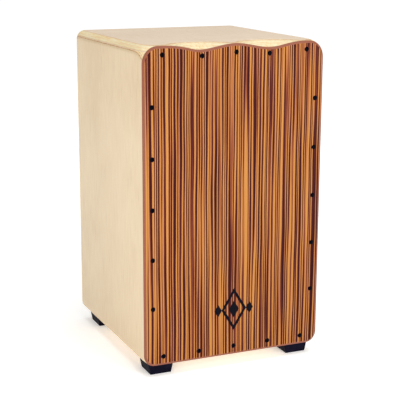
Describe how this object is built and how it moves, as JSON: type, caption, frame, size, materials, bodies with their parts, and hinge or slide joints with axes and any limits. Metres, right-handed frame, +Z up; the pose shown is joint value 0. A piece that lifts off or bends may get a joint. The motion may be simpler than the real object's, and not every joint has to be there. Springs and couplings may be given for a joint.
{
  "type": "cajon",
  "caption": "Box drum to sit on: plywood case with a scalloped, screwed-on striped playing board, rear sound hole, rubber feet and a tilting snare bar inside.",
  "frame": {"origin": "on the floor under the middle of the bounding box", "axes": "+Z up, -Y out of the playing board, +X to the right as the playing board is looked at"},
  "size_m": [0.294, 0.3062, 0.5],
  "materials": {
    "panel_birch": "satin clear lacquer on birch plywood, plies showing where edges are rounded",
    "back_birch": "satin clear lacquer on thin birch plywood",
    "striped_veneer": "satin lacquer on a striped dark veneer",
    "spruce": "planed, unfinished",
    "beech": "sanded, unfinished",
    "foot_rubber": "matt moulded",
    "black_steel": "black oxide, slightly glossy",
    "zinc_steel": "zinc plated",
    "snare_brass": "bare sheet brass",
    "snare_wire": "bright coiled steel wire",
    "black_fibre": "matt fibre"
  },
  "bodies": {
    "shell": {"back_panel": "back_birch", "bottom_panel": "panel_birch", "foot_screws": "zinc_steel", "foot_washers": "zinc_steel", "front_bottom_batten": "spruce", "front_left_batten": "spruce", "front_left_foot": "foot_rubber", "front_right_batten": "spruce", "front_right_foot": "foot_rubber", "front_top_batten": "spruce", "left_friction_washer": "black_fibre", "left_pivot_block": "beech", "left_pivot_stud": "zinc_steel", "left_side_panel": "panel_birch", "rear_bottom_batten": "spruce", "rear_left_batten": "spruce", "rear_left_foot": "foot_rubber", "rear_right_batten": "spruce", "rear_right_foot": "foot_rubber", "rear_top_batten": "spruce", "right_friction_washer": "black_fibre", "right_pivot_block": "beech", "right_pivot_stud": "zinc_steel", "right_side_panel": "panel_birch", "tapa": "striped_veneer", "tapa_screws": "black_steel", "top_panel": "panel_birch"},
    "snare": {"snare_bar": "beech", "left_bar_bracket": "zinc_steel", "right_bar_bracket": "zinc_steel", "bracket_screws": "zinc_steel", "left_snare_plate": "snare_brass", "right_snare_plate": "snare_brass", "left_snare_wires": "snare_wire", "right_snare_wires": "snare_wire", "snare_plate_screws": "zinc_steel"},
    "left_nut": {"left_wing_nut": "zinc_steel"},
    "right_nut": {"right_wing_nut": "zinc_steel"}
  },
  "joints": [
    {"name": "snare_tilt", "type": "hinge", "parent": "shell", "child": "snare", "pos_m": [0, -0.112, 0.336], "axis": [-1, 0, 0], "range_deg": [0, 28]},
    {"name": "left_nut_turn", "type": "hinge", "parent": "shell", "child": "left_nut", "pos_m": [-0.115, -0.112, 0.336], "axis": [1, 0, 0], "range_deg": [0, 270]},
    {"name": "right_nut_turn", "type": "hinge", "parent": "shell", "child": "right_nut", "pos_m": [0.115, -0.112, 0.336], "axis": [-1, 0, 0], "range_deg": [0, 270]}
  ]
}
